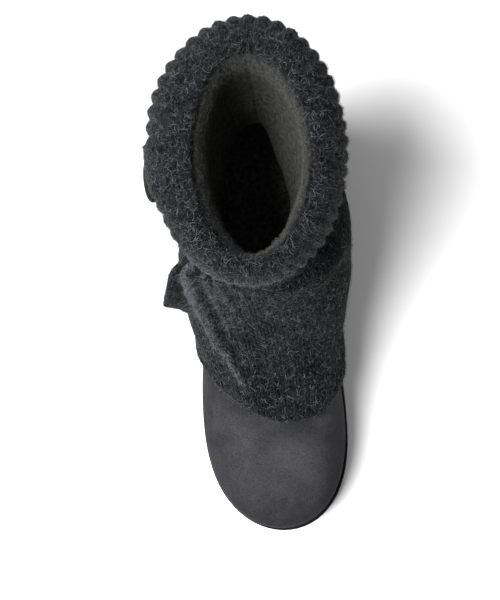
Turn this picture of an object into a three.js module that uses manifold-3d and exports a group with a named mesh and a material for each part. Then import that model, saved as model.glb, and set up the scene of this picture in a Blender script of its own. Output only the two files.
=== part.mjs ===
// A women's pull-on winter boot for the right foot: a suede foot on a low rubber sole, a loose
// knitted sleeve over the instep and shaft, and a thick ribbed cuff turned down at the top. The
// cuff's front end laps over its back end on the outer side, under a large button, and a corner of
// the wrapped knit stands out below it.
// Millimetres. The toe points along -Y, the inner side of the foot is +X and the floor is z = 0.
// The origin is on the floor under the middle of the heel.
import * as THREE from "three";
import { mergeVertices } from "three/addons/utils/BufferGeometryUtils.js";
import Module from "manifold-3d";

const wasm = await Module();
wasm.setup();

// Sole
const soleLength = 270; // heel back to toe tip
const heelReach = 36; // origin to heel back
const ballWidth = 92; // last at its widest, across the ball
const soleMargin = 1.7; // the sole's edge outside the last
const heelSeatHeight = 25; // floor to the top of the sole under the heel
const forefootHeight = 11; // the same under the ball of the foot
const toeSpring = 7; // how far the toe tip lifts
const archRise = 8; // how far the waist clears the floor
const treadDepth = 5; // depth of the tread layer
const treadInset = 2.4; // the tread layer inside the sole's edge
const edgeBevel = 1; // slant at the tread's and the lip's edges
const grooveDepth = 3;
const grooveWidth = 4.5;
const lugLength = 11; // tread block between two grooves, heel to toe

// Upper
const ankleHeight = 130; // where the foot's slope ends and the shaft begins
const collarHeight = 205; // top edge of the shaft
const openingLength = 112; // outside of the shaft at the top, front to back
const openingWidth = 68; // the same, side to side
const upperWall = 3.2; // suede with its backing
const insoleThickness = 4;
const insoleClearance = 0.6; // insole edge to the upper's inside

// Knit
const knitWall = 4;
const sleeveBag = 12; // how far the loose sleeve stands off the shaft, at most
const foldDepth = 5; // the sleeve's deepest fold
const foldWidth = 8; // half the width of a fold
const sleeveEase = 1; // the sleeve's inside off the upper between its two edges
const sleeveTopDrop = 10; // sleeve edge below the shaft's edge
const cuffDepth = 58; // cuff top to hem
const cuffThickness = 7.5;
const cuffRoll = 4; // the turned edge above the shaft's edge
const cuffReach = 18; // cuff's outer face to the shaft, on average
const cuffReachBack = 2.5; // more at the back, less at the front
const cuffReachOuter = 3; // more on the outer side, less on the inner
const cuffFullness = 3.5; // more again where the cuff's two ends meet
const cuffPinch = 3.4; // less again over the instep
const cuffSeat = 2.2; // the cuff's inside off the sleeve there
const ribCount = 48;
const ribDepth = 2;
const lapThickness = 2.4; // how far the end that laps over stands above the rest
const buttonRadius = 12.5;
const buttonThickness = 3.2;
const buttonDish = 1; // the face inside the button's rim
const buttonRim = 2.4;
const buttonHoleRadius = 1.6;
const buttonHoleOffset = 3.2;
const flapThickness = 4;
const flapReach = 17; // root to tip
const flapClearance = 2; // root to the curved knit under it
const sleeveSeat = 0.5; // the same at the sleeve's edges, where its facets cross the upper's
const seatGap = 0.3; // clear between two pieces that touch

// Facets
const soleSides = 96;
const footSides = 48;
const upperRows = 16;
const sleeveSides = 48;
const sleeveRows = 15;
const pointsPerRib = 4;

// Rows of numbers under named columns.
function table(names, rows) {
  const columns = names.split(" ");
  return rows.map((row) => Object.fromEntries(columns.map((name, i) => [name, row[i]])));
}
// Smooth curve through hand-set values at rising stations.
function through(stations, values, at) {
  const last = stations.length - 1;
  let k = 0;
  while (k < last - 1 && at > stations[k + 1]) k++;
  const slope = (i) => {
    const a = Math.max(i - 1, 0);
    const b = Math.min(i + 1, last);
    return (values[b] - values[a]) / (stations[b] - stations[a]);
  };
  const span = stations[k + 1] - stations[k];
  const w = (at - stations[k]) / span;
  const rise = w * w * (3 - 2 * w);
  const leave = w * (1 - w) * (1 - w) * span * slope(k);
  const arrive = w * w * (w - 1) * span * slope(k + 1);
  return mix(values[k], values[k + 1], rise) + leave + arrive;
}
const mix = THREE.MathUtils.lerp;
const smooth = THREE.MathUtils.smoothstep; // smooth(x, low, high)
const radians = THREE.MathUtils.degToRad;
const degrees = THREE.MathUtils.radToDeg;
const evenTurn = (count) => Array.from({ length: count }, (_, i) => (i / count) * 2 * Math.PI);

// Sole curves along its length: 0 at the heel back, 1 at the toe tip.
const alongOf = (y) => (heelReach - y) / soleLength;
const soleTop = (along) =>
  mix(heelSeatHeight, forefootHeight, smooth(along, 0.16, 0.66)) +
  toeSpring * Math.max(0, (along - 0.72) / 0.28) ** 2;
const soleBottom = (along) =>
  archRise * smooth(along, 0.25, 0.31) * (1 - smooth(along, 0.38, 0.52)) +
  toeSpring * 1.3 * Math.max(0, (along - 0.8) / 0.2) ** 2;

// Rings round the last, low to high. front and back are shares of soleLength from the heel back, and
// frontUp and backUp shares of the way from the sole to ankleHeight. flat is 0 where the ring follows
// the sole's curve and 1 where it lies in a plane.
const footProfile = table("front back frontUp backUp flat", [
  [0.993, 0.010, 0.000, 0.000, 0.0],
  [0.996, 0.002, 0.058, 0.060, 0.0],
  [0.991, -0.002, 0.126, 0.126, 0.1],
  [0.97, -0.003, 0.19, 0.194, 0.25],
  [0.93, -0.002, 0.243, 0.252, 0.42],
  [0.869, 0.0, 0.288, 0.306, 0.6],
  [0.795, 0.004, 0.332, 0.36, 0.76],
  [0.713, 0.008, 0.385, 0.417, 0.9],
  [0.631, 0.012, 0.46, 0.485, 1.0],
  [0.552, 0.015, 0.575, 0.573, 1.0],
  [0.485, 0.017, 0.717, 0.7, 1.0],
  [0.433, 0.016, 0.876, 0.835, 1.0],
  [0.403, 0.013, 1.0, 1.0, 1.0],
]);
// Half widths of the same rings at five stations from heel to toe, and how far the middle line leans
// to the inner side at the toe and along the foot, all as shares of ballWidth.
const footWidths = table("heelEnd heelSide waist ball toeEnd lean bow", [
  [0.65, 0.472, 0.368, 0.51, 0.75, 0.098, -0.012],
  [0.66, 0.484, 0.378, 0.516, 0.77, 0.098, -0.012],
  [0.655, 0.484, 0.384, 0.516, 0.76, 0.096, -0.012],
  [0.64, 0.478, 0.384, 0.51, 0.71, 0.092, -0.01],
  [0.615, 0.468, 0.384, 0.492, 0.64, 0.088, -0.006],
  [0.58, 0.455, 0.384, 0.474, 0.59, 0.083, -0.002],
  [0.545, 0.44, 0.382, 0.458, 0.535, 0.076, 0.0],
  [0.505, 0.425, 0.38, 0.45, 0.55, 0.066, 0.004],
  [0.465, 0.41, 0.378, 0.442, 0.55, 0.056, 0.008],
  [0.43, 0.395, 0.374, 0.43, 0.52, 0.046, 0.01],
  [0.4, 0.378, 0.368, 0.405, 0.47, 0.037, 0.014],
  [0.38, 0.366, 0.36, 0.378, 0.41, 0.028, 0.018],
  [0.37, 0.36, 0.356, 0.362, 0.378, 0.02, 0.022],
]);
// Rings of the shaft. up is the share from ankleHeight to collarHeight, length and ahead are shares
// of openingLength, and the rest shares of openingWidth.
const shaftProfile = table("up length ahead", [
  [0.3, 0.925, 0.136],
  [0.64, 0.955, 0.107],
  [1.0, 1.0, 0.085],
]);
const shaftWidths = table("heelEnd heelSide waist ball toeEnd lean bow", [
  [0.498, 0.486, 0.482, 0.482, 0.492, 0.026, 0.032],
  [0.5, 0.494, 0.492, 0.49, 0.495, 0.02, 0.034],
  [0.506, 0.503, 0.5, 0.5, 0.5, 0.015, 0.035],
]);
const widthStations = [0, 0.14, 0.4, 0.68, 1];
const leanPower = 2.4; // how late towards the toe the middle line leans

const sizedWidths = (row, size) => Object.values(row).map((share) => share * size);
const frontFeather = soleTop(1) + seatGap;
const backFeather = soleTop(0) + seatGap;
const footRings = footProfile.map((row, i) => [
  heelReach - row.front * soleLength,
  heelReach - row.back * soleLength,
  mix(frontFeather, ankleHeight, row.frontUp),
  mix(backFeather, ankleHeight, row.backUp),
  row.flat,
  ...sizedWidths(footWidths[i], ballWidth),
]);
const shaftRings = shaftProfile.map((row, i) => [
  (-row.ahead - row.length / 2) * openingLength,
  (-row.ahead + row.length / 2) * openingLength,
  mix(ankleHeight, collarHeight, row.up),
  mix(ankleHeight, collarHeight, row.up),
  1,
  ...sizedWidths(shaftWidths[i], openingWidth),
]);
const rings = [...footRings, ...shaftRings];
const topLevel = rings.length - 1;
const ringStations = rings.map((_, i) => i / topLevel);

// The ring at a height share: 0 is the sole, 1 the top of the shaft.
function ringAt(up) {
  const at = rings[0].map((_, column) => through(ringStations, rings.map((r) => r[column]), up));
  const [frontY, backY, frontZ, backZ, flat, ...widths] = at;
  const bow = widths.pop();
  const lean = widths.pop();
  return { frontY, backY, frontZ, backZ, flat: THREE.MathUtils.clamp(flat, 0, 1), widths, lean, bow };
}
// A point of a ring. angle 0 is the heel, 90 degrees the outer side, 180 the toe and 270 the inner side.
function ringPoint(ring, angle, margin = 0) {
  const share = (1 - Math.cos(angle)) / 2;
  const y = mix(ring.backY, ring.frontY, share) + margin * Math.cos(angle);
  const middle = ring.lean * share ** leanPower + ring.bow * Math.sin(Math.PI * share);
  const x = middle - (through(widthStations, ring.widths, share) + margin) * Math.sin(angle);
  const plane = mix(ring.backZ, ring.frontZ, share);
  const clearance = mix(ring.backZ - soleTop(0), ring.frontZ - soleTop(1), share);
  return new THREE.Vector3(x, y, mix(soleTop(alongOf(y)) + clearance, plane, ring.flat));
}
// The outside of the upper at an angle and height share, and a point moved out of it by a distance.
const surfacePoint = (angle, up) => ringPoint(ringAt(up), angle);
const probeStep = 0.004;
function surfaceNormal(angle, up) {
  const low = Math.max(up - probeStep, 0);
  const high = Math.min(up + probeStep, 1);
  const around = surfacePoint(angle + probeStep, up).sub(surfacePoint(angle - probeStep, up));
  return around.cross(surfacePoint(angle, high).sub(surfacePoint(angle, low))).normalize();
}
const offsetPoint = (angle, up, distance) =>
  surfacePoint(angle, up).addScaledVector(surfaceNormal(angle, up), distance);

// Closed meshes from loops and grids of points
function geometryOf(points, triangles) {
  const g = new THREE.BufferGeometry();
  g.setAttribute("position", new THREE.Float32BufferAttribute(points.flatMap((p) => p.toArray()), 3));
  g.setIndex(triangles.flat());
  return g;
}
function bandTriangles(lower, upper, sides) {
  const triangles = [];
  for (let i = 0; i < sides; i++) {
    const next = (i + 1) % sides;
    triangles.push([lower + i, lower + next, upper + next], [lower + i, upper + next, upper + i]);
  }
  return triangles;
}
// A hollow tube: loops up the outside and down the inside, the last one meeting the first.
function tubeSolid(loops) {
  const sides = loops[0].length;
  const bands = loops.map((_, r) => bandTriangles(r * sides, ((r + 1) % loops.length) * sides, sides));
  return geometryOf(loops.flat(), bands.flat());
}
// A solid stack of loops, closed at both ends by rungs between the points that face each other.
function stackSolid(loops) {
  const sides = loops[0].length;
  const walls = loops.slice(1).map((_, r) => bandTriangles(r * sides, (r + 1) * sides, sides));
  const cap = (base, facesUp) => {
    const rungs = [];
    for (let i = 0; i < sides / 2; i++) {
      const far = base + ((sides - i) % sides);
      const farNext = base + sides - i - 1;
      if (i > 0) rungs.push([base + i, base + i + 1, far]);
      if (i + 1 < sides / 2) rungs.push([base + i + 1, farNext, far]);
    }
    return rungs.map(([a, b, c]) => (facesUp ? [a, b, c] : [a, c, b]));
  };
  const top = (loops.length - 1) * sides;
  return geometryOf(loops.flat(), [...walls.flat(), ...cap(0, false), ...cap(top, true)]);
}
// A sheet between two grids of the same size, rows running to the right of the columns from outside.
function sheetSolid(outer, inner) {
  const rows = outer.length;
  const columns = outer[0].length;
  const at = (side, r, c) => (side * rows + r) * columns + c;
  const triangles = [];
  const quad = (a, b, c, d) => triangles.push([a, b, c], [a, c, d]);
  for (let r = 0; r + 1 < rows; r++) {
    for (let c = 0; c + 1 < columns; c++) {
      quad(at(0, r, c), at(0, r, c + 1), at(0, r + 1, c + 1), at(0, r + 1, c));
      quad(at(1, r, c), at(1, r + 1, c), at(1, r + 1, c + 1), at(1, r, c + 1));
    }
    quad(at(0, r, 0), at(0, r + 1, 0), at(1, r + 1, 0), at(1, r, 0));
    const edge = columns - 1;
    quad(at(0, r + 1, edge), at(0, r, edge), at(1, r, edge), at(1, r + 1, edge));
  }
  for (let c = 0; c + 1 < columns; c++) {
    quad(at(1, 0, c), at(1, 0, c + 1), at(0, 0, c + 1), at(0, 0, c));
    const edge = rows - 1;
    quad(at(0, edge, c), at(0, edge, c + 1), at(1, edge, c + 1), at(1, edge, c));
  }
  return geometryOf([...outer.flat(), ...inner.flat()], triangles);
}
function solidOf(geometry) {
  const bare = geometry.clone();
  bare.deleteAttribute("normal");
  bare.deleteAttribute("uv");
  const merged = mergeVertices(bare, 1e-4);
  const vertProperties = merged.attributes.position.array;
  const triVerts = new Uint32Array(merged.index.array);
  return new wasm.Manifold(new wasm.Mesh({ numProp: 3, vertProperties, triVerts }));
}
function geometryFrom(solid) {
  const mesh = solid.getMesh();
  const g = new THREE.BufferGeometry();
  g.setAttribute("position", new THREE.BufferAttribute(mesh.vertProperties, 3));
  g.setIndex(new THREE.BufferAttribute(mesh.triVerts, 1));
  return g;
}

// Outsole: the tread is stepped in below a lip that stands out round the upper, and grooves cross it.
const soleRing = ringAt(0);
function soleLoop(inset, share) {
  return evenTurn(soleSides).map((angle) => {
    const p = ringPoint(soleRing, angle, soleMargin - inset);
    const along = THREE.MathUtils.clamp(alongOf(p.y), 0, 1);
    return p.setZ(mix(soleBottom(along), soleTop(along), share));
  });
}
const treadPads = table("from to", [
  [0, 0.25],
  [0.54, 0.92],
]);
function outsole() {
  const step = treadDepth / forefootHeight;
  const slant = edgeBevel / forefootHeight;
  const body = stackSolid([
    soleLoop(treadInset + edgeBevel, 0),
    soleLoop(treadInset, slant),
    soleLoop(treadInset, step - slant / 2),
    soleLoop(0, step + slant / 2),
    soleLoop(0, 1 - slant),
    soleLoop(edgeBevel / 2, 1),
  ]);
  let grooved = solidOf(body);
  for (const pad of treadPads) {
    const length = (pad.to - pad.from) * soleLength;
    const count = Math.floor((length - lugLength) / (lugLength + grooveWidth));
    for (let i = 0; i < count; i++) {
      const y = heelReach - pad.from * soleLength - (i + 1) * (lugLength + grooveWidth);
      const groove = new THREE.BoxGeometry(2 * ballWidth, grooveWidth, 2 * grooveDepth);
      groove.translate(0, y, soleBottom(alongOf(y)));
      grooved = grooved.subtract(solidOf(groove));
    }
  }
  return geometryFrom(grooved);
}

// Insole: lies on the sole inside the upper.
function insole() {
  const rim = (height) =>
    evenTurn(footSides).map((angle) => {
      const p = ringPoint(soleRing, angle, -upperWall - insoleClearance);
      return p.setZ(soleTop(alongOf(p.y)) + seatGap + height);
    });
  return stackSolid([rim(0), rim(insoleThickness)]);
}

// Upper: one hollow wall from the sole to the top of the shaft, open at both ends.
function upper() {
  const face = (distance) =>
    Array.from({ length: upperRows }, (_, i) => {
      const up = i / (upperRows - 1);
      return evenTurn(footSides).map((angle) => {
        if (i === 0) return ringPoint(soleRing, angle, distance);
        const p = offsetPoint(angle, up, distance);
        return i === upperRows - 1 ? p.setZ(collarHeight) : p;
      });
    });
  return tubeSolid([...face(0), ...face(-upperWall).reverse()]);
}

// The knit's lower edge on the upper, from the heel round the outer side and back along the inner: a
// rounded edge over the vamp, lower along the sides and higher round the heel.
const hem = table("angle up", [
  [0, 0.33],
  [70, 0.225],
  [100, 0.275],
  [122, 0.4],
  [150, 0.468],
  [180, 0.463],
  [208, 0.435],
  [238, 0.355],
  [256, 0.25],
  [290, 0.21],
  [360, 0.33],
]);
function hemUp(angle) {
  return through(hem.map((row) => row.angle), hem.map((row) => row.up), degrees(angle));
}
// Where the loose sleeve bags out: centre of each place, its depth as a share of sleeveBag, and how
// far it spreads round and up.
const bags = table("angle up depth round rise", [
  [270, 0.73, 0.88, 36, 0.16],
  [232, 0.65, 0.65, 22, 0.13],
  [98, 0.7, 0.6, 32, 0.15],
  [130, 0.72, 0.85, 20, 0.13],
  [118, 0.5, 0.75, 18, 0.09],
  [0, 0.64, 0.3, 46, 0.12],
]);
// Ridges of the sleeve, from one place to another, with a depth and width as shares of foldDepth and
// foldWidth. The first three fan out from the outer front, under the cuff's edge.
const folds = table("fromAngle fromUp toAngle toUp depth width", [
  [126, 0.8, 150, 0.48, 1, 0.7],
  [130, 0.8, 182, 0.77, 0.9, 0.7],
  [122, 0.78, 134, 0.36, 0.5, 0.9],
  [190, 0.76, 236, 0.75, 0.6, 0.9],
  [300, 0.62, 350, 0.72, 0.4, 1],
  [20, 0.7, 70, 0.62, 0.4, 1],
]);
const knitRound = (Math.PI * (openingLength + openingWidth)) / 2 / 360; // a degree, on the shaft
// Degrees round and height shares up as millimetres on the shaft.
const fromPlace = (angle, up) => new THREE.Vector2(angle * knitRound, up * collarHeight);
function standOff(angle, up, share) {
  const turn = degrees(angle);
  const apart = (a, b) => Math.abs(((a - b + 540) % 360) - 180);
  const free = smooth(share, 0, 0.3) * (1 - smooth(share, 0.6, 0.74));
  let bag = 0;
  for (const b of bags) {
    bag += b.depth * Math.exp(-((apart(turn, b.angle) / b.round) ** 2) - ((up - b.up) / b.rise) ** 2);
  }
  let fold = 0;
  for (const f of folds) {
    const toward = fromPlace(f.toAngle - f.fromAngle, f.toUp - f.fromUp);
    const here = fromPlace(turn - f.fromAngle, up - f.fromUp);
    const part = THREE.MathUtils.clamp(here.dot(toward) / toward.lengthSq(), 0, 1);
    const away = here.addScaledVector(toward, -part).length() / (f.width * foldWidth);
    fold += f.depth * Math.exp(-away * away);
  }
  const ease = sleeveEase * smooth(share, 0, 0.1) * (1 - smooth(share, 0.9, 1));
  return ease + (bag * sleeveBag + fold * foldDepth) * free;
}
const sleeveTop = 1 - sleeveTopDrop / collarHeight;
const sleeveUp = (angle, share) => mix(hemUp(angle), sleeveTop, share);
function sleevePoint(angle, share, distance) {
  const up = sleeveUp(angle, share);
  return offsetPoint(angle, up, sleeveSeat + distance + standOff(angle, up, share));
}
function sleeve() {
  const face = (distance) =>
    Array.from({ length: sleeveRows }, (_, i) =>
      evenTurn(sleeveSides).map((angle) => sleevePoint(angle, i / (sleeveRows - 1), distance)),
    );
  return tubeSolid([...face(knitWall), ...face(0).reverse()]);
}

// Cuff: a turned-down band swept round the top of the shaft.
const collarRing = ringAt(1);
function collarPoint(angle, out, height) {
  const before = ringPoint(collarRing, angle - probeStep);
  const after = ringPoint(collarRing, angle + probeStep);
  const outward = after.sub(before).cross(new THREE.Vector3(0, 0, 1)).normalize();
  return ringPoint(collarRing, angle).addScaledVector(outward, out).setZ(height);
}
// Angles evenly spaced along the cuff's outer face.
function evenAngles(count) {
  const fine = evenTurn(12 * count);
  const points = [...fine, 0].map((angle) => collarPoint(angle, cuffReach, 0));
  const lengths = [0];
  points.slice(1).forEach((p, i) => lengths.push(lengths[i] + p.distanceTo(points[i])));
  let k = 0;
  return Array.from({ length: count }, (_, i) => {
    const want = (i / count) * lengths[fine.length];
    while (lengths[k + 1] <= want) k++;
    return fine[k] + ((want - lengths[k]) / (lengths[k + 1] - lengths[k])) * fine[1];
  });
}
const lapEnd = 84; // angle of the cuff's free end
const lapFades = 118; // angle where the lap has run into the cuff
const fullestAt = 68; // angle where the cuff is fullest
const lapSpread = 32; // degrees over which it is fuller there
const pinchedAt = 172; // angle over the instep where the cuff is slimmest
const pinchSpread = 42; // degrees over which it is slimmer there
function reachAt(angle) {
  const fuller = cuffFullness * Math.exp(-(((degrees(angle) - fullestAt) / lapSpread) ** 2));
  const slimmer = cuffPinch * Math.exp(-(((degrees(angle) - pinchedAt) / pinchSpread) ** 2));
  return cuffReach + cuffReachBack * Math.cos(angle) + cuffReachOuter * Math.sin(angle) + fuller - slimmer;
}
// The cuff's section from its hem up the outer face to the inner edge, then down its back. reach is a
// share of the cuff's reach, thick a number of its thicknesses further out, down the share of its
// depth below the roll, rib the share of the ribs' depth, and least how far out it stays at least.
const overSleeve = sleeveSeat + knitWall + sleeveEase + cuffSeat;
const cuffSection = table("reach thick down rib least", [
  [0.83, 0, 0.98, 0.8, 0],
  [0.87, 0, 0.8, 1, 0],
  [0.99, 0, 0.42, 1, 0],
  [0.85, 0, 0.15, 0.9, 0],
  [0.48, 0, 0.025, 0.6, 0],
  [0.08, -0.05, 0, 0.25, 0],
  [0, -0.4, 0.052, 0, -cuffThickness],
  [0, 0.04, 0.052, 0, 0],
  [0.8, -0.6, 0.3, 0, overSleeve],
  [0.88, -0.66, 0.98, 0, overSleeve],
]);
const cuffTop = collarHeight + cuffRoll;
function lapShare(angle) {
  const turn = degrees(angle);
  return smooth(turn, lapEnd - 1, lapEnd + 1) * (1 - smooth(turn, mix(lapEnd, lapFades, 0.5), lapFades));
}
function cuffPoint(row, angle, ribShare) {
  const lap = lapShare(angle) * row.rib;
  const ripple = ribDepth * (Math.abs(Math.cos(Math.PI * ribShare)) - 0.6) * row.rib * (1 - 0.6 * lap);
  const out = row.reach * reachAt(angle) + row.thick * cuffThickness + ripple + lap * lapThickness;
  return collarPoint(angle, Math.max(out, row.least), cuffTop - row.down * cuffDepth);
}
function cuff() {
  const angles = evenAngles(ribCount * pointsPerRib);
  const ring = (row) => angles.map((angle, i) => cuffPoint(row, angle, i / pointsPerRib));
  return tubeSolid(cuffSection.map(ring));
}

// Button: a dished disc with four holes, on the lap near its free end.
const buttonAngle = 98;
const buttonDown = 0.8; // a share of the cuff's depth
const buttonSeat = 0.88; // a share of the cuff's reach
const buttonLean = 0.115; // how far it faces down, in each millimetre out
function buttonShape() {
  const profile = [
    [0, 0],
    [buttonRadius - edgeBevel, 0],
    [buttonRadius, edgeBevel],
    [buttonRadius, buttonThickness - edgeBevel],
    [buttonRadius - edgeBevel, buttonThickness],
    [buttonRadius - buttonRim, buttonThickness],
    [buttonRadius - buttonRim - buttonDish, buttonThickness - buttonDish],
    [0, buttonThickness - buttonDish],
  ];
  const lathe = new THREE.LatheGeometry(profile.map(([r, z]) => new THREE.Vector2(r, z)), 24);
  let disc = solidOf(lathe.rotateX(Math.PI / 2));
  for (let i = 0; i < 4; i++) {
    const hole = new THREE.CylinderGeometry(buttonHoleRadius, buttonHoleRadius, 3 * buttonThickness, 8);
    hole.rotateX(Math.PI / 2).translate(buttonHoleOffset, 0, 0).rotateZ(((i + 0.5) * Math.PI) / 2);
    disc = disc.subtract(solidOf(hole));
  }
  return geometryFrom(disc);
}
function buttonPlace(mesh) {
  const angle = radians(buttonAngle);
  const reach = buttonSeat * reachAt(angle) + lapThickness + ribDepth / 2 + seatGap;
  const seat = collarPoint(angle, reach, cuffTop - buttonDown * cuffDepth);
  const outward = collarPoint(angle, reach + 1, seat.z - buttonLean).sub(seat).normalize();
  mesh.position.copy(seat);
  mesh.quaternion.setFromUnitVectors(new THREE.Vector3(0, 0, 1), outward);
  return mesh;
}

// Flap: the corner of the wrapped knit. Its root runs down the outer front of the sleeve, and each
// row goes out from there: how far, and how far forward and down on the way, as shares of flapReach.
const flapRows = table("angle share out forward drop", [
  [127, 0.7, 0.1, 0.0, 0.0],
  [128.5, 0.62, 0.28, 0.05, 0.05],
  [130, 0.54, 0.47, 0.1, 0.1],
  [131.5, 0.47, 0.7, 0.1, 0.15],
  [133, 0.41, 0.92, 0.0, 0.2],
  [134, 0.36, 0.94, -0.25, 0.15],
]);
const flapRoot = (row) => sleevePoint(radians(row.angle), row.share, knitWall + flapClearance);
function flap() {
  const across = 4;
  const rootLine = flapRoot(flapRows.at(-1)).sub(flapRoot(flapRows[0]));
  const face = (side) =>
    flapRows.map((row) => {
      const root = flapRoot(row);
      const outward = sleevePoint(radians(row.angle), row.share, knitWall + flapClearance + 1).sub(root);
      const aside = outward.clone().cross(rootLine).setLength((side * flapThickness) / 2);
      return Array.from({ length: across }, (_, i) => {
        const t = (i / (across - 1)) * flapReach;
        const sway = new THREE.Vector3(0, -row.forward * t, -row.drop * t);
        return root.clone().addScaledVector(outward, row.out * t).add(sway).add(aside);
      });
    });
  return sheetSolid(face(1), face(-1));
}

const finish = (color, roughness) => new THREE.MeshStandardMaterial({ color, roughness });
const rubber = finish(0x141414, 0.7);
const suede = finish(0x4e4d51, 0.95);
const felt = finish(0x2c2b29, 1);
const knit = finish(0x383a3c, 1);
const horn = finish(0x0c0c0c, 0.3);

const boot = new THREE.Group();
function add(name, geometry, material) {
  const mesh = new THREE.Mesh(geometry, material);
  mesh.name = name;
  boot.add(mesh);
  return mesh;
}
add("outsole", outsole(), rubber);
add("insole", insole(), felt);
add("upper", upper(), suede);
add("knit_sleeve", sleeve(), knit);
add("ribbed_cuff", cuff(), knit);
buttonPlace(add("cuff_button", buttonShape(), horn));
add("side_flap", flap(), knit);

export default boot;
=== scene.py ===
import math
import bmesh
import bpy
import numpy as np
from mathutils import Matrix, Vector


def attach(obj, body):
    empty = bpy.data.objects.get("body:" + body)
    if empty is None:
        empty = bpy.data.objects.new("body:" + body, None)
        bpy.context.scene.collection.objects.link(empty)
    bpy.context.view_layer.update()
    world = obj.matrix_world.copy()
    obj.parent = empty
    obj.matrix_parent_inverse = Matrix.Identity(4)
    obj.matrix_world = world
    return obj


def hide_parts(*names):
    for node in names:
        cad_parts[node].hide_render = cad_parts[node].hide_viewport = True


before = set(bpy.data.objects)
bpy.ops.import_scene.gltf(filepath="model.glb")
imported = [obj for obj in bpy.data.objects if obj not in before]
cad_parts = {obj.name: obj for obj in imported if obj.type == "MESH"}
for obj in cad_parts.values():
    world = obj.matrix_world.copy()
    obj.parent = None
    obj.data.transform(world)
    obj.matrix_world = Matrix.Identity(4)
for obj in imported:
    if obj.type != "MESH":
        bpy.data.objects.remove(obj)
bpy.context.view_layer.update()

mm = 0.001
weldWithin = 1e-6

# The boot's own sizes in millimetres, toe to -Y and the inner side of the foot to +X
boot = {
    "soleLength": 270, "heelReach": 36, "ballWidth": 92,
    "heelSeatHeight": 25, "forefootHeight": 11, "toeSpring": 7,
    "ankleHeight": 130, "collarHeight": 205, "openingLength": 112, "openingWidth": 68,
    "seatGap": 0.3,
}

# Rings round the last: front and back, their lift, and how flat the ring lies
footProfile = [
    [0.993, 0.010, 0.000, 0.000, 0.0],
    [0.996, 0.002, 0.058, 0.060, 0.0],
    [0.991, -0.002, 0.126, 0.126, 0.1],
    [0.97, -0.003, 0.19, 0.194, 0.25],
    [0.93, -0.002, 0.243, 0.252, 0.42],
    [0.869, 0.0, 0.288, 0.306, 0.6],
    [0.795, 0.004, 0.332, 0.36, 0.76],
    [0.713, 0.008, 0.385, 0.417, 0.9],
    [0.631, 0.012, 0.46, 0.485, 1.0],
    [0.552, 0.015, 0.575, 0.573, 1.0],
    [0.485, 0.017, 0.717, 0.7, 1.0],
    [0.433, 0.016, 0.876, 0.835, 1.0],
    [0.403, 0.013, 1.0, 1.0, 1.0],
]
# The same rings: half widths from heel to toe, lean of the toe and bow of the middle line
footWidths = [
    [0.65, 0.472, 0.368, 0.51, 0.75, 0.098, -0.012],
    [0.66, 0.484, 0.378, 0.516, 0.77, 0.098, -0.012],
    [0.655, 0.484, 0.384, 0.516, 0.76, 0.096, -0.012],
    [0.64, 0.478, 0.384, 0.51, 0.71, 0.092, -0.01],
    [0.615, 0.468, 0.384, 0.492, 0.64, 0.088, -0.006],
    [0.58, 0.455, 0.384, 0.474, 0.59, 0.083, -0.002],
    [0.545, 0.44, 0.382, 0.458, 0.535, 0.076, 0.0],
    [0.505, 0.425, 0.38, 0.45, 0.55, 0.066, 0.004],
    [0.465, 0.41, 0.378, 0.442, 0.55, 0.056, 0.008],
    [0.43, 0.395, 0.374, 0.43, 0.52, 0.046, 0.01],
    [0.4, 0.378, 0.368, 0.405, 0.47, 0.037, 0.014],
    [0.38, 0.366, 0.36, 0.378, 0.41, 0.028, 0.018],
    [0.37, 0.36, 0.356, 0.362, 0.378, 0.02, 0.022],
]
shaftProfile = [[0.3, 0.925, 0.136], [0.64, 0.955, 0.107], [1.0, 1.0, 0.085]]
shaftWidths = [
    [0.498, 0.486, 0.482, 0.482, 0.492, 0.026, 0.032],
    [0.5, 0.494, 0.492, 0.49, 0.495, 0.02, 0.034],
    [0.506, 0.503, 0.5, 0.5, 0.5, 0.015, 0.035],
]
widthStations = [0, 0.14, 0.4, 0.68, 1]
leanPower = 2.4


def smooth(x, low, high):
    t = np.clip((np.asarray(x, float) - low) / (high - low), 0, 1)
    return t * t * (3 - 2 * t)


def mix(a, b, t):
    return a + (b - a) * t


def hump(x, centre, spread):
    return np.exp(-(((x - centre) / spread) ** 2))


def hermite(low, high, leave, arrive, span, w):
    return mix(low, high, w * w * (3 - 2 * w)) + w * (1 - w) ** 2 * span * leave + w * w * (w - 1) * span * arrive


def around(turn, centre, spread):
    return hump((turn - centre + 180) % 360 - 180, 0, spread)


# Smooth curve through rows at rising stations, read at many places
def through(stations, rows, at):
    s = np.asarray(stations, float)
    v = np.asarray(rows, float).reshape(len(s), -1)
    at = np.asarray(at, float)
    before = np.clip(np.arange(len(s)) - 1, 0, None)
    after = np.clip(np.arange(len(s)) + 1, None, len(s) - 1)
    slope = (v[after] - v[before]) / (s[after] - s[before])[:, None]
    k = np.clip(np.searchsorted(s, at, side="left") - 1, 0, len(s) - 2)
    span = (s[k + 1] - s[k])[:, None]
    w = (at - s[k])[:, None] / span
    return hermite(v[k], v[k + 1], slope[k], slope[k + 1], span, w)


# The same for values that differ from place to place: rows has one row for each place
def throughEach(stations, rows, at):
    s = np.asarray(stations, float)
    before = np.clip(np.arange(len(s)) - 1, 0, None)
    after = np.clip(np.arange(len(s)) + 1, None, len(s) - 1)
    slope = (rows[:, after] - rows[:, before]) / (s[after] - s[before])
    k = np.clip(np.searchsorted(s, at, side="left") - 1, 0, len(s) - 2)
    n = np.arange(len(at))
    span = s[k + 1] - s[k]
    return hermite(rows[n, k], rows[n, k + 1], slope[n, k], slope[n, k + 1], span, (at - s[k]) / span)


# Rows that begin with their station, and rows spread evenly from 0 to 1
def readRows(rows, at):
    return through([row[0] for row in rows], [row[1:] for row in rows], at)


def readEven(rows, at):
    return through(np.linspace(0, 1, len(rows)), rows, at)


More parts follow.
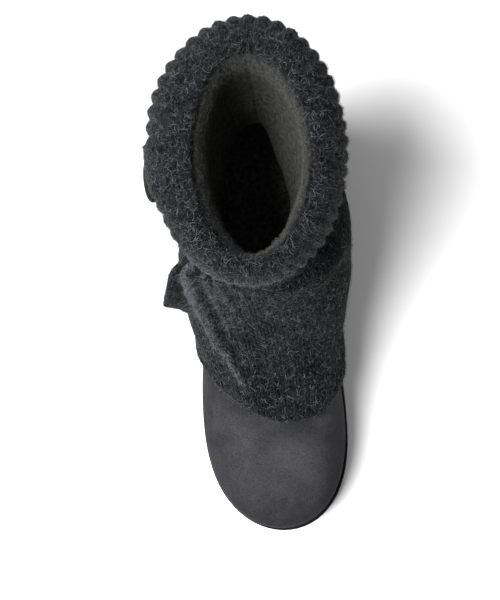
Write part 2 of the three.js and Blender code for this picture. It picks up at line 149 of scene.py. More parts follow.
def alongOf(y):
    return (boot["heelReach"] - y) / boot["soleLength"]


def soleTop(along):
    spring = boot["toeSpring"] * np.clip((along - 0.72) / 0.28, 0, None) ** 2
    return mix(boot["heelSeatHeight"], boot["forefootHeight"], smooth(along, 0.16, 0.66)) + spring


def makeRings():
    front = soleTop(1) + boot["seatGap"]
    back = soleTop(0) + boot["seatGap"]
    rings = []
    for profile, widths in zip(footProfile, footWidths):
        rings.append([
            boot["heelReach"] - profile[0] * boot["soleLength"],
            boot["heelReach"] - profile[1] * boot["soleLength"],
            mix(front, boot["ankleHeight"], profile[2]),
            mix(back, boot["ankleHeight"], profile[3]),
            profile[4],
        ] + [share * boot["ballWidth"] for share in widths])
    for profile, widths in zip(shaftProfile, shaftWidths):
        height = mix(boot["ankleHeight"], boot["collarHeight"], profile[0])
        rings.append([
            (-profile[2] - profile[1] / 2) * boot["openingLength"],
            (-profile[2] + profile[1] / 2) * boot["openingLength"],
            height, height, 1,
        ] + [share * boot["openingWidth"] for share in widths])
    return np.array(rings)


rings = makeRings()
ringStations = np.linspace(0, 1, len(rings))
probe = 0.004


# A place on the upper's outside: turn 0 is the heel, a quarter the outer side, a half the toe
def surfaceAt(angle, up):
    r = through(ringStations, rings, up)
    share = (1 - np.cos(angle)) / 2
    y = mix(r[:, 1], r[:, 0], share)
    middle = r[:, 10] * share ** leanPower + r[:, 11] * np.sin(np.pi * share)
    x = middle - throughEach(widthStations, r[:, 5:10], share) * np.sin(angle)
    plane = mix(r[:, 3], r[:, 2], share)
    clear = mix(r[:, 3] - soleTop(0), r[:, 2] - soleTop(1), share)
    z = mix(soleTop(alongOf(y)) + clear, plane, np.clip(r[:, 4], 0, 1))
    return np.stack([x, y, z], axis=1)


def unit(v):
    return v / np.maximum(np.linalg.norm(v, axis=1), 1e-9)[:, None]


def outwardAt(angle, up):
    across = surfaceAt(angle + probe, up) - surfaceAt(angle - probe, up)
    rise = surfaceAt(angle, np.minimum(up + probe, 1)) - surfaceAt(angle, np.maximum(up - probe, 0))
    return unit(np.cross(across, rise))


def offsetAt(angle, up, distance):
    return surfaceAt(angle, up) + outwardAt(angle, up) * np.asarray(distance)[:, None]


# The rim at its turns, in millimetres: how far the knit leans in over the shaft's edge and where the fleece ends
rimRows = [
    [-30, 3.0, 6.6], [0, 3.4, 7.0], [30, 2.8, 6.4], [60, 3.0, 7.4], [90, 2.9, 7.8], [120, 4.0, 8.4],
    [150, 4.4, 8.0], [180, 2.2, 4.6], [210, 0.8, 5.0], [235, 0.6, 6.6], [255, 0.9, 6.6], [270, 1.5, 6.6],
    [300, 3.0, 6.8], [330, 3.0, 6.6], [360, 3.4, 7.0], [390, 2.8, 6.4],
]


def rimAt(angle):
    return readRows(rimRows, np.degrees(angle)).T


# Where the knitted sleeve ends on the foot: turn and height share
hem = [
    [0, 0.33], [70, 0.225], [100, 0.275], [122, 0.4], [150, 0.468], [180, 0.463],
    [208, 0.435], [238, 0.355], [256, 0.25], [290, 0.21], [360, 0.33],
]


def hemAt(turn):
    return readRows(hem, turn)[:, 0]


# Soft unevenness of worked cloth: a few fixed waves, in millimetres at each place
def cloth(points, size, seed):
    rng = np.random.default_rng(seed)
    total = np.zeros(len(points))
    waves = 7
    for _ in range(waves):
        way = rng.normal(size=3)
        way /= np.linalg.norm(way)
        length = size * rng.uniform(0.7, 1.6)
        total += np.sin(points @ way * 2 * math.pi / length + rng.uniform(0, 6.28))
    return total / waves


# Rounded ribs side by side, about their mean height
def ribWave(turns, count):
    return np.abs(np.cos(math.pi * turns * count)) - 0.6


# Mesh making
def readAll(items, key, width=1, kind=float):
    flat = np.zeros(len(items) * width, kind)
    items.foreach_get(key, flat)
    return flat.reshape(-1, width) if width > 1 else flat


def setValues(mesh, name, values):
    mesh.attributes.new(name, "FLOAT", "POINT").data.foreach_set("value", values.astype(np.float32))


def addObject(name, data):
    made = bpy.data.objects.new(name, data)
    bpy.context.scene.collection.objects.link(made)
    return made


def intoMesh(bm, mesh):
    bm.to_mesh(mesh)
    bm.free()
    return mesh


def gridMesh(name, columns, rows, size=0.5):
    bm = bmesh.new()
    bmesh.ops.create_grid(bm, x_segments=columns, y_segments=rows, size=size)
    return intoMesh(bm, bpy.data.meshes.new(name))


def weldedFrom(mesh):
    bm = bmesh.new()
    bm.from_mesh(mesh)
    bmesh.ops.remove_doubles(bm, verts=bm.verts, dist=weldWithin)
    for face in bm.faces:
        face.smooth = True
    return bm


# A grid is wrapped to its place and its meeting edges are merged. place gives points and a value for each
# that marks painted light (fold crest highlights, suede shade, the fleece's rim), lay gives the cloth map.
def wrapGrid(name, columns, rows, place, closeUp=True, lay=None):
    mesh = gridMesh(name, columns, rows)
    uv = readAll(mesh.vertices, "co", 3)[:, :2] + 0.5
    corner = readAll(mesh.loops, "vertex_index", 1, np.int32)
    laid = lay(uv) if lay else uv
    mesh.uv_layers.new(name="cloth").data.foreach_set("uv", laid[corner].ravel().astype(np.float32))
    points, paintedLight = place(uv[:, 0] % 1, uv[:, 1] % 1 if closeUp else uv[:, 1])
    mesh.vertices.foreach_set("co", (points * mm).ravel())
    setValues(mesh, "paintedLight", paintedLight)
    bm = weldedFrom(mesh)
    if bm.calc_volume(signed=True) < 0:
        bmesh.ops.reverse_faces(bm, faces=bm.faces)
    return addObject(name, intoMesh(bm, mesh))


def copyOfNode(node, name, sharpAt=35):
    bm = weldedFrom(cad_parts[node].data)
    for edge in bm.edges:
        edge.smooth = edge.is_manifold and edge.calc_face_angle(0) < math.radians(sharpAt)
    return addObject(name, intoMesh(bm, bpy.data.meshes.new(name)))


def finishPiece(piece, material, slot, *nodes):
    piece.data.materials.clear()
    piece.data.materials.append(material)
    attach(piece, "root")
    if nodes:
        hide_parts(*nodes)
    print("piece", piece.name, len(piece.data.polygons), "faces")


# What all fibres share: how their lengths, widths and tones vary and how they end
fibreSet = {
    "lengthSpread": 0.4, "shortest": 0.3, "longest": 2.6, "thinnest": 0.6, "thickest": 1.3,
    "dark": 0.45, "pale": 2.0, "highlightTone": 0.4, "taper": 0.7, "arch": 1.1, "apart": 2,
}


# One little grid from bmesh, copied side by side by an array and joined in one mesh
def stripRow(name, count, steps):
    holder = addObject(name, gridMesh(name + "_strip", 1, steps))
    array = holder.modifiers.new("copies", "ARRAY")
    array.count = count
    array.use_relative_offset = False
    array.use_constant_offset = True
    array.constant_offset_displace = (fibreSet["apart"], 0, 0)
    joined = bpy.data.meshes.new_from_object(holder.evaluated_get(bpy.context.evaluated_depsgraph_get()))
    joined.name = name
    holder.modifiers.clear()
    holder.data = joined
    return holder


# Faces turned away from an upright line through the boot, or towards it where side is -1, and those
# facing up
def turnedOut(centre, normal, look):
    away = np.sum(normal * (centre - [0, look["middleY"], 0]) * [1, 1, 0], axis=1)
    return (away * look["side"] > 0) | (normal[:, 2] > look["facingUp"])


# Fibres: thin curled ribbons rooted over a piece
def addFuzz(name, piece, look, where=None):
    mesh, count = piece.data, look["count"]
    area = readAll(mesh.polygons, "area")
    normal = readAll(mesh.polygons, "normal", 3)
    centre = readAll(mesh.polygons, "center", 3)
    first = readAll(mesh.polygons, "loop_start", 1, np.int32)
    corner = readAll(mesh.loops, "vertex_index", 1, np.int32)[first]
    paintedLight = np.clip(readAll(mesh.attributes["paintedLight"].data, "value")[corner], 0, 1)
    rng = np.random.default_rng(look["seed"])
    chance = area * (1 + look["onCrest"] * paintedLight)
    if where:
        chance = chance * where(centre, normal)
    pick = rng.choice(len(area), count, p=chance / chance.sum())
    base = readAll(mesh.vertices, "co", 3)[corner[pick]]
    root = base + (centre[pick] - base) * rng.uniform(0, 2, (count, 1))
    out = unit(normal[pick])
    way = unit(np.cross(out, rng.normal(size=out.shape)) + look["comb"] * np.array(look["combWay"]))
    side = unit(np.cross(out, way))
    spread = np.clip(rng.lognormal(0, fibreSet["lengthSpread"], count), fibreSet["shortest"], fibreSet["longest"])
    length = look["length"] * spread * mm
    lift = look["lift"] * rng.uniform(0.1, 1, count) ** 2 * mm
    bend = rng.normal(0, look["bend"], count)
    half = look["width"] * rng.uniform(fibreSet["thinnest"], fibreSet["thickest"], count) * mm / 2
    # Painted highlight: fibres are paler where the crest value is high, on fold crests and on the fleece's rim
    tone = rng.beta(fibreSet["dark"], fibreSet["pale"], count) + fibreSet["highlightTone"] * paintedLight[pick]
    holder = stripRow(name, count, look["steps"])
    grid = readAll(holder.data.vertices, "co", 3)
    n = np.clip(np.round(grid[:, 0] / fibreSet["apart"]).astype(int), 0, count - 1)
    across = (grid[:, 0] - fibreSet["apart"] * n) * 2
    t = grid[:, 1] + 0.5
    turned = bend[n] * t
    heading = way[n] * np.cos(turned)[:, None] + side[n] * np.sin(turned)[:, None]
    sideways = side[n] * np.cos(turned)[:, None] - way[n] * np.sin(turned)[:, None]
    rise = look["sit"] * mm + lift[n] * np.sin(math.pi * np.clip(t * fibreSet["arch"], 0, 1))
    points = root[n] + heading * (length[n] * t)[:, None]
    points += out[n] * rise[:, None]
    points += sideways * (half[n] * across * (1 - fibreSet["taper"] * t))[:, None]
    holder.data.vertices.foreach_set("co", points.ravel())
    setValues(holder.data, "tone", np.clip(tone[n], 0, 1))
    holder.data.update()
    return holder


# Shader helpers: a value is a number, a tuple or the socket it comes from
def put(tree, kind, values=None, **props):
    node = tree.nodes.new(kind)
    for key, value in props.items():
        setattr(node, key, value)
    for key, value in (values or {}).items():
        if isinstance(value, (int, float, tuple)):
            node.inputs[key].default_value = value
        else:
            tree.links.new(value, node.inputs[key])
    return node


def calc(tree, operation, *values, clamp=False):
    return put(tree, "ShaderNodeMath", dict(enumerate(values)), operation=operation, use_clamp=clamp).outputs[0]


def blend(tree, kind, factor, a, b):
    return put(tree, "ShaderNodeMix", {0: factor, 6: a, 7: b}, data_type="RGBA", blend_type=kind).outputs[2]


def noise(tree, place, values):
    return put(tree, "ShaderNodeTexNoise", {"Vector": place, **values}).outputs["Fac"]


def attribute(tree, name):
    return put(tree, "ShaderNodeAttribute", attribute_name=name).outputs["Fac"]


def heightOf(tree, place):
    return put(tree, "ShaderNodeSeparateXYZ", {"Vector": place}).outputs[2]


def ramp(tree, value, stops):
    node = put(tree, "ShaderNodeValToRGB", {"Fac": value})
    for element, (at, shade) in zip(node.color_ramp.elements, stops):
        element.position = at
        element.color = (*shade, 1)
    return node.outputs["Color"]


def newGroup(name, inputs, outputs):
    tree = bpy.data.node_groups.new(name, "ShaderNodeTree")
    for socket, kind, value in inputs:
        made = tree.interface.new_socket(name=socket, in_out="INPUT", socket_type="NodeSocket" + kind)
        if value is not None:
            made.default_value = value
    for socket, kind in outputs:
        tree.interface.new_socket(name=socket, in_out="OUTPUT", socket_type="NodeSocket" + kind)
    return tree, tree.nodes.new("NodeGroupInput").outputs, tree.nodes.new("NodeGroupOutput").inputs


# Melange yarn: dark wool with paler fibres spun in, as flecks a couple of millimetres long
def melangeGroup():
    tree, given, out = newGroup(
        "melangeYarn",
        [("Place", "Vector", None), ("Fleck Scale", "Float", 520.0),
         ("Dark", "Color", (0.01, 0.011, 0.012, 1)), ("Pale", "Color", (0.09, 0.095, 0.1, 1))],
        [("Color", "Color"), ("Fleck", "Float")],
    )
    share = {"strand": 0.45, "fleck": 0.55, "broad": 0.16, "contrast": 5.0, "level": 0.31}
    place = given["Place"]
    fleck = noise(tree, place, {"Scale": given["Fleck Scale"], "Detail": 4.0, "Roughness": 0.72, "Distortion": 0.6})
    drawn = put(tree, "ShaderNodeMapping", {"Vector": place, "Rotation": (0.5, 0.3, 0.7), "Scale": (1.0, 0.28, 0.5)})
    strand = noise(tree, drawn.outputs[0], {"Scale": 900.0, "Detail": 3.0, "Roughness": 0.6, "Distortion": 1.2})
    broad = noise(tree, place, {"Scale": 45.0, "Detail": 2.0})
    mixed = calc(tree, "MULTIPLY_ADD", strand, share["strand"], calc(tree, "MULTIPLY", fleck, share["fleck"]))
    centred = calc(tree, "SUBTRACT", mixed, share["broad"] / 2)
    drift = calc(tree, "MULTIPLY_ADD", broad, share["broad"], centred)
    apart = calc(tree, "SUBTRACT", drift, 0.5)
    spread = calc(tree, "MULTIPLY_ADD", apart, share["contrast"], share["level"], clamp=True)
    tree.links.new(blend(tree, "MIX", spread, given["Dark"], given["Pale"]), out["Color"])
    tree.links.new(spread, out["Fleck"])
    return tree


# Knit loops: columns of slanted legs, from a cloth map counted in columns and courses, with painted shade in the
# hollows between them
def knitGroup():
    tree, given, out = newGroup(
        "knitLoops",
        [("Cloth", "Vector", None), ("Columns", "Float", 76.0), ("Courses", "Float", 60.0)],
        [("Height", "Float"), ("Painted Shade", "Float")],
    )
    shape = {"legRound": 2.2, "slant": 1.5, "loopShare": 0.6, "hollow": 0.25}
    cloth = put(tree, "ShaderNodeSeparateXYZ", {"Vector": given["Cloth"]}).outputs
    column = calc(tree, "MULTIPLY", cloth[0], given["Columns"])
    course = calc(tree, "MULTIPLY", cloth[1], given["Courses"])
    fromMiddle = calc(tree, "ABSOLUTE", calc(tree, "SUBTRACT", calc(tree, "FRACT", column), 0.5))
    legPlace = calc(tree, "MULTIPLY", calc(tree, "SUBTRACT", fromMiddle, 0.25), 4.0)
    legSide = calc(tree, "POWER", calc(tree, "ABSOLUTE", legPlace), shape["legRound"])
    leg = calc(tree, "SUBTRACT", 1.0, legSide)
    slanted = calc(tree, "SUBTRACT", course, calc(tree, "MULTIPLY", fromMiddle, shape["slant"]))
    loop = calc(tree, "SINE", calc(tree, "MULTIPLY", calc(tree, "FRACT", slanted), math.pi))
    raised = calc(tree, "MULTIPLY_ADD", loop, shape["loopShare"], 1 - shape["loopShare"])
    height = calc(tree, "MULTIPLY", leg, raised, clamp=True)
    tree.links.new(height, out["Height"])
    # Painted shade: darker in the hollows between the loop legs
    tree.links.new(calc(tree, "MULTIPLY_ADD", height, 1 - shape["hollow"], shape["hollow"]), out["Painted Shade"])
    return tree


# Nap: suede's brushed patches, fine streaks and grain
def napGroup():
    tree, given, out = newGroup(
        "suedeNap",
        [("Place", "Vector", None), ("Patch Scale", "Float", 38.0), ("Grain Scale", "Float", 1500.0)],
        [("Patch", "Float"), ("Grain", "Float")],
    )
    share = {"streak": 0.2, "patch": 0.8}
    place = given["Place"]
    patch = noise(tree, place, {"Scale": given["Patch Scale"], "Detail": 4.0, "Roughness": 0.55, "Distortion": 0.8})
    comb = put(tree, "ShaderNodeMapping", {"Vector": place, "Rotation": (0, 0, 0.35), "Scale": (1.0, 0.3, 1.0)})
    streak = noise(tree, comb.outputs[0], {"Scale": 420.0, "Detail": 3.0, "Roughness": 0.6})
    grain = noise(tree, place, {"Scale": given["Grain Scale"], "Detail": 2.0, "Roughness": 0.7})
    both = calc(tree, "MULTIPLY_ADD", streak, share["streak"], calc(tree, "MULTIPLY", patch, share["patch"]))
    tree.links.new(both, out["Patch"])
    tree.links.new(grain, out["Grain"])
    return tree


# Dust: a pale dry film that gathers near the floor
def dustGroup():
    tree, given, out = newGroup(
        "floorDust", [("Place", "Vector", None), ("Reach", "Float", 0.02)], [("Dust", "Float")],
    )
    risen = calc(tree, "DIVIDE", heightOf(tree, given["Place"]), given["Reach"])
    low = calc(tree, "SUBTRACT", 1.0, risen, clamp=True)
    speck = noise(tree, given["Place"], {"Scale": 160.0, "Detail": 5.0, "Roughness": 0.7})
    tree.links.new(calc(tree, "MULTIPLY", low, speck), out["Dust"])
    return tree


groups = {"melange": melangeGroup(), "knit": knitGroup(), "nap": napGroup(), "dust": dustGroup()}


def startMaterial(name, roughness, sheen=0.0, gloss=0.02):
    material = bpy.data.materials.new(name)
    material.use_nodes = True
    tree = material.node_tree
    shader = tree.nodes["Principled BSDF"]
    shader.inputs["Roughness"].default_value = roughness
    shader.inputs["Sheen Weight"].default_value = sheen
    shader.inputs["Sheen Roughness"].default_value = 0.5
    shader.inputs["Specular IOR Level"].default_value = gloss
    return material, tree, shader, put(tree, "ShaderNodeTexCoord").outputs["Object"]


def useGroup(tree, group, values):
    return put(tree, "ShaderNodeGroup", values, node_tree=groups[group]).outputs


def bumpFrom(tree, shader, height, distance):
    node = put(tree, "ShaderNodeBump", {"Strength": 1.0, "Distance": distance, "Height": height})
    tree.links.new(node.outputs["Normal"], shader.inputs["Normal"])


# Roughness that follows a noise, between two values
def roughenBy(tree, shader, value, low, high):
    rough = put(tree, "ShaderNodeMapRange", {"Value": value, "To Min": low, "To Max": high})
    tree.links.new(rough.outputs[0], shader.inputs["Roughness"])


# The crest colour and its shares paint a highlight on the knit's fold crests
knitLook = {
    "dark": (0.001, 0.0012, 0.0014, 1), "pale": (0.02, 0.0215, 0.0235, 1), "fleckScale": 480.0,
    "roughness": 0.95, "sheen": 0.02, "loopDepth": 0.0008, "loopPaintedShade": 0.35, "fleckRelief": 0.5,
    "paintedLight": (0.075, 0.0785, 0.084, 1), "highlightShare": 0.85, "highlightFleck": 1.3, "highlightEven": 0.1,
}


# Knit: melange yarn in loops, with a painted highlight that makes the crests of folds paler
def knitMaterial(name, columns, courses, look=knitLook):
    material, tree, shader, place = startMaterial(name, look["roughness"], look["sheen"])
    yarn = useGroup(tree, "melange", {
        "Place": place, "Dark": look["dark"], "Pale": look["pale"], "Fleck Scale": look["fleckScale"]})
    cloth = put(tree, "ShaderNodeUVMap", uv_map="cloth").outputs[0]
    loops = useGroup(tree, "knit", {"Cloth": cloth, "Columns": columns, "Courses": courses})
    # The painted shade of the loops' hollows multiplies the yarn's colour
    shaded = blend(tree, "MULTIPLY", look["loopPaintedShade"], yarn["Color"], loops["Painted Shade"])
    # Painted highlight: the crest value, flecked, mixes in the paler crest colour
    flecked = calc(tree, "MULTIPLY_ADD", yarn["Fleck"], look["highlightFleck"], look["highlightEven"])
    paintedLight = calc(tree, "MULTIPLY", attribute(tree, "paintedLight"), flecked)
    paintedShading = calc(tree, "MULTIPLY", paintedLight, look["highlightShare"], clamp=True)
    tree.links.new(blend(tree, "MIX", paintedShading, shaded, look["paintedLight"]), shader.inputs["Base Color"])
    height = calc(tree, "MULTIPLY_ADD", yarn["Fleck"], look["fleckRelief"], loops["Height"])
    bumpFrom(tree, shader, height, look["loopDepth"])
    return material


# The edge colour darkens the suede where shade is painted
suedeLook = {
    "low": (0.0165, 0.0162, 0.0182, 1), "high": (0.04, 0.0392, 0.043, 1), "edge": (0.55, 0.55, 0.55, 1),
    "roughness": 0.92, "sheen": 0.03, "patchScale": 38.0, "contrast": 2.3, "patchRelief": 0.6,
    "grainDepth": 0.00018, "grainShare": 0.8, "grain": [(0.3, (0.4, 0.4, 0.4)), (0.7, (1.6, 1.6, 1.6))],
}


# Suede: patches of nap, darker by a painted shade value near the sole, along the knit's hem and on the outer side
def suedeMaterial(look=suedeLook):
    material, tree, shader, place = startMaterial("greySuede", look["roughness"], look["sheen"])
    nap = useGroup(tree, "nap", {"Place": place, "Patch Scale": look["patchScale"]})
    apart = calc(tree, "SUBTRACT", nap["Patch"], 0.5)
    spread = calc(tree, "MULTIPLY_ADD", apart, look["contrast"], 0.5, clamp=True)
    colour = blend(tree, "MIX", spread, look["low"], look["high"])
    paintedShading = blend(tree, "MULTIPLY", attribute(tree, "paintedLight"), colour, look["edge"])
    fine = ramp(tree, nap["Grain"], look["grain"])
    tree.links.new(blend(tree, "MULTIPLY", look["grainShare"], paintedShading, fine), shader.inputs["Base Color"])
    height = calc(tree, "MULTIPLY_ADD", nap["Patch"], look["patchRelief"], nap["Grain"])
    bumpFrom(tree, shader, height, look["grainDepth"])
    return material


# Painted light: the deep colour is paler than the rim's, lighting the shaft's depths
fleeceLook = {
    "deep": (0.11, 0.109, 0.104, 1), "rim": (0.019, 0.019, 0.0182, 1), "deepAt": 0.06, "rimAt": 0.2,
    "fade": 0.8, "roughness": 1.0, "sheen": 0.02, "tuftScale": 400.0, "tuftDepth": 0.0016,
    "tuftShare": 0.9, "tuft": [(0.34, (0.3, 0.3, 0.3)), (0.66, (1.5, 1.5, 1.5))],
}


# Fleece: tufts, with painted light: paler deep inside the shaft and darker towards the rim
def fleeceMaterial(look=fleeceLook):
    material, tree, shader, place = startMaterial("darkFleece", look["roughness"], look["sheen"])
    # Painted light: the colour goes from the paler deep shade to the darker rim shade by height
    lift = put(tree, "ShaderNodeMapRange", {
        "Value": heightOf(tree, place), "From Min": look["deepAt"], "From Max": look["rimAt"]}, clamp=True)
    colour = blend(tree, "MIX", calc(tree, "POWER", lift.outputs[0], look["fade"]), look["deep"], look["rim"])
    tuft = noise(tree, place, {"Scale": look["tuftScale"], "Detail": 5.0, "Roughness": 0.65})
    shade = ramp(tree, tuft, look["tuft"])
    tree.links.new(blend(tree, "MULTIPLY", look["tuftShare"], colour, shade), shader.inputs["Base Color"])
    bumpFrom(tree, shader, tuft, look["tuftDepth"])
    return material


rubberLook = {
    "body": (0.002, 0.002, 0.002, 1), "worn": (0.007, 0.0069, 0.0067, 1), "dusty": (0.03, 0.029, 0.027, 1),
    "roughness": 0.62, "gloss": 0.09, "smoothest": 0.5, "roughest": 0.78, "dustShare": 0.35,
    "patchScale": 60.0, "grainScale": 1500.0, "grainDepth": 0.0001,
}


def rubberMaterial(look=rubberLook):
    material, tree, shader, place = startMaterial("blackRubber", look["roughness"], 0, look["gloss"])
    patch = noise(tree, place, {"Scale": look["patchScale"], "Detail": 4.0})
    colour = blend(tree, "MIX", patch, look["body"], look["worn"])
    dust = calc(tree, "MULTIPLY", useGroup(tree, "dust", {"Place": place})["Dust"], look["dustShare"])
    tree.links.new(blend(tree, "MIX", dust, colour, look["dusty"]), shader.inputs["Base Color"])
    roughenBy(tree, shader, patch, look["smoothest"], look["roughest"])
    bumpFrom(tree, shader, noise(tree, place, {"Scale": look["grainScale"], "Detail": 3.0}), look["grainDepth"])
    return material


buttonLook = {
    "swirl": [(0.35, (0.002, 0.002, 0.002)), (0.7, (0.009, 0.0085, 0.008))], "swirlScale": 110.0,
    "roughness": 0.5, "gloss": 0.06, "smoothest": 0.36, "roughest": 0.5, "swirlDepth": 0.0001,
}


def buttonMaterial(look=buttonLook):
    material, tree, shader, place = startMaterial("blackButton", look["roughness"], 0, look["gloss"])
    swirl = noise(tree, place, {"Scale": look["swirlScale"], "Detail": 3.0, "Distortion": 2.5})
    tree.links.new(ramp(tree, swirl, look["swirl"]), shader.inputs["Base Color"])
    roughenBy(tree, shader, swirl, look["smoothest"], look["roughest"])
    bumpFrom(tree, shader, swirl, look["swirlDepth"])
    return material


# Fibres read their tone, from dark wool to the paler hairs spun in, with a painted highlight added on crests
def fibreMaterial(name, look):
    material, tree, shader, _ = startMaterial(name, look["roughness"], look["sheen"])
    colour = blend(tree, "MIX", attribute(tree, "tone"), look["dark"], look["pale"])
    tree.links.new(colour, shader.inputs["Base Color"])
    return material


# Sole: the CAD's tread, lip and grooves with smooth sides
sole = copyOfNode("outsole", "rubber_sole")
toeLip = {"from": 150, "to": 215, "wider": 1.5, "middle": (0.004, -0.15)}
for vertex in sole.data.vertices:
    share = float(smooth(-vertex.co.y / mm, toeLip["from"], toeLip["to"]))
    way = Vector((vertex.co.x - toeLip["middle"][0], vertex.co.y - toeLip["middle"][1], 0))
    vertex.co += way.normalized() * share * toeLip["wider"] * mm
finishPiece(sole, rubberMaterial(), "rubber", "outsole")

# Foot: suede with real thickness, from the sole to under the knit
footSet = {
    "columns": 200, "rows": 150, "skin": 1.5, "topUp": 0.62, "unevenness": 0.35, "waveSize": 60,
    "feather": -0.9, "featherUp": 0.012, "toeTuck": 1.3, "toeTurn": 184, "toeSpread": 52, "toeUp": (0.05, 0.17),
    "soleShadeUp": (0.06, 0.36), "hemShade": 0.6, "hemDrop": 0.01, "hemSpread": 0.035,
    "sideShade": 0.5, "sideTurn": 120, "sideSpread": 34, "sideUp": (0.36, 0.5),
}
# The suede's section, up the outside and down the inside: height share and depth in thicknesses
footSection = [
    [0.0, 0.0, -0.8], [0.02, -0.001, -0.4], [0.04, 0.002, -0.05], [0.7, 0.985, 0.0],
    [0.73, 1.0, -0.5], [0.76, 0.985, -1.0], [0.98, 0.0, -1.0], [1.0, 0.0, -0.8],
]
# Soft troughs of the foot: where, how deep and how wide, in degrees and height shares
footCreases = [
    [158, 0.44, 0.5, 26, 0.02], [206, 0.43, 0.45, 22, 0.02], [182, 0.39, 0.35, 30, 0.018],
    [96, 0.2, 0.5, 14, 0.05], [262, 0.21, 0.4, 14, 0.05],
]


def placeFoot(u, v):
    angle = u * 2 * math.pi
    turn = np.degrees(angle)
    up, depth = readRows(footSection, v).T
    up = np.clip(up, 0, 1) * footSet["topUp"]
    depth = depth * footSet["skin"]
    for at, height, deep, wide, tall in footCreases:
        depth = depth - deep * hump(turn, at, wide) * hump(up, height, tall)
    depth = depth + footSet["feather"] * hump(up, footSet["featherUp"], footSet["featherUp"])
    tuck = footSet["toeTuck"] * around(turn, footSet["toeTurn"], footSet["toeSpread"])
    depth = depth - tuck * (1 - smooth(up, *footSet["toeUp"]))
    points = offsetAt(angle, up, depth)
    uneven = cloth(points, footSet["waveSize"], seed=3) * footSet["unevenness"]
    # Painted shade: darker towards the sole, in a band along the knit's hem and on the outer side
    atHem = footSet["hemShade"] * hump(up, hemAt(turn) - footSet["hemDrop"], footSet["hemSpread"])
    atSide = footSet["sideShade"] * around(turn, footSet["sideTurn"], footSet["sideSpread"])
    paintedShading = 1 - smooth(up, *footSet["soleShadeUp"]) + atHem + atSide * (1 - smooth(up, *footSet["sideUp"]))
    return points + outwardAt(angle, up) * uneven[:, None], np.clip(paintedShading, 0, 1)


foot = wrapGrid("suede_foot", footSet["columns"], footSet["rows"], placeFoot)
finishPiece(foot, suedeMaterial(), "suede", "upper")

# Lining: fleece up the inside and rolled over the collar's edge, with its seam at the back
liningSet = {
    "columns": 240, "rows": 180, "hidden": 3.0, "tucked": 0.2, "tuckedUp": (0.94, 0.975), "deep": 4.5,
    "fullness": 14, "evenly": 0.25, "fullestUp": 0.69, "fullTall": 0.17, "fullFrom": (0.25, 0.45),
    "soft": 0.5, "softSize": 14, "tuft": 0.4, "tuftSize": 5, "crumb": 0.9, "crumbSize": 4.5,
    "crumbUp": (0.9, 0.99), "seamDepth": 1.0, "seamWidth": 2.4, "facing": (0.1, 0.6),
}
# Where the fleece is fuller: how much, turn and spread
liningSwells = [[0.8, 305, 48], [0.55, 240, 30], [0.2, 15, 40]]
# The lining's section from its hidden back over the rim and down the inside: height share, then the
# share of the way from its hidden back to the fleece's edge, and how far it is past the rim
liningSection = [
    [0.0, 0.9, 0.0, 0], [0.04, 0.97, 0.0, 0], [0.08, 0.99, 0.15, 0], [0.12, 0.998, 0.45, 0],
    [0.16, 0.996, 0.75, 0], [0.2, 0.985, 0.96, 0], [0.25, 0.965, 1.03, 0], [0.32, 0.93, 1.0, 0.1],
    [0.45, 0.8, 1.0, 0.5], [0.92, 0.03, 1.0, 1], [0.94, 0.012, 0.8, 1], [0.96, 0.03, 0.3, 0.7],
    [0.99, 0.6, 0.0, 0.2], [1.0, 0.9, 0.0, 0],
]


def placeLining(u, v):
    angle = u * 2 * math.pi
    turn = np.degrees(angle)
    up, inner, past = readRows(liningSection, v).T
    up, inner, past = np.clip(up, 0, 1), np.clip(inner, 0, 1.1), np.clip(past, 0, 1)
    hidden = mix(liningSet["hidden"], liningSet["tucked"], smooth(up, *liningSet["tuckedUp"]))
    depth = mix(hidden, mix(rimAt(angle)[1], liningSet["deep"], past), inner)
    full = liningSet["evenly"]
    for more, at, spread in liningSwells:
        full = full + more * around(turn, at, spread)
    swell = inner * liningSet["fullness"] * full * hump(up, liningSet["fullestUp"], liningSet["fullTall"])
    points = offsetAt(angle, up, -depth - swell * smooth(v, *liningSet["fullFrom"]))
    rim = smooth(up, *liningSet["crumbUp"]) * inner
    soft = cloth(points, liningSet["softSize"], seed=8) * liningSet["soft"]
    soft = soft + cloth(points, liningSet["tuftSize"], seed=9) * liningSet["tuft"]
    soft = soft + cloth(points, liningSet["crumbSize"], seed=14) * liningSet["crumb"] * rim
    seam = around(turn, 0, liningSet["seamWidth"]) * liningSet["seamDepth"]
    relief = (soft + seam) * smooth(inner, *liningSet["facing"])
    return points + outwardAt(angle, up) * relief[:, None], rim


lining = wrapGrid("fleece_lining", liningSet["columns"], liningSet["rows"], placeLining)
finishPiece(lining, fleeceMaterial(), "insole")
pile = {
    "count": 16000, "seed": 24, "length": 2.0, "lift": 1.3, "bend": 1.3, "width": 0.22, "steps": 2, "sit": 0.0,
    "onCrest": 8, "comb": 0.0, "combWay": (0.0, 0.0, 1.0),
    "middleY": -0.01, "side": -1, "facingUp": 0.2, "thickens": (0.1, 0.2),
}
pileLook = {"dark": (0.004, 0.004, 0.0038, 1), "pale": (0.07, 0.069, 0.066, 1), "roughness": 0.9, "sheen": 0.2}


def onLiningFace(centre, normal):
    return turnedOut(centre, normal, pile) * smooth(centre[:, 2], *pile["thickens"])


liningPile = addFuzz("lining_pile", lining, pile, onLiningFace)
finishPiece(liningPile, fibreMaterial("fleecePile", pileLook), "insole")

# Footbed: the same fleece over the insole
footbed = copyOfNode("insole", "fleece_footbed", sharpAt=50)
finishPiece(footbed, fleeceMaterial(), "insole", "insole")

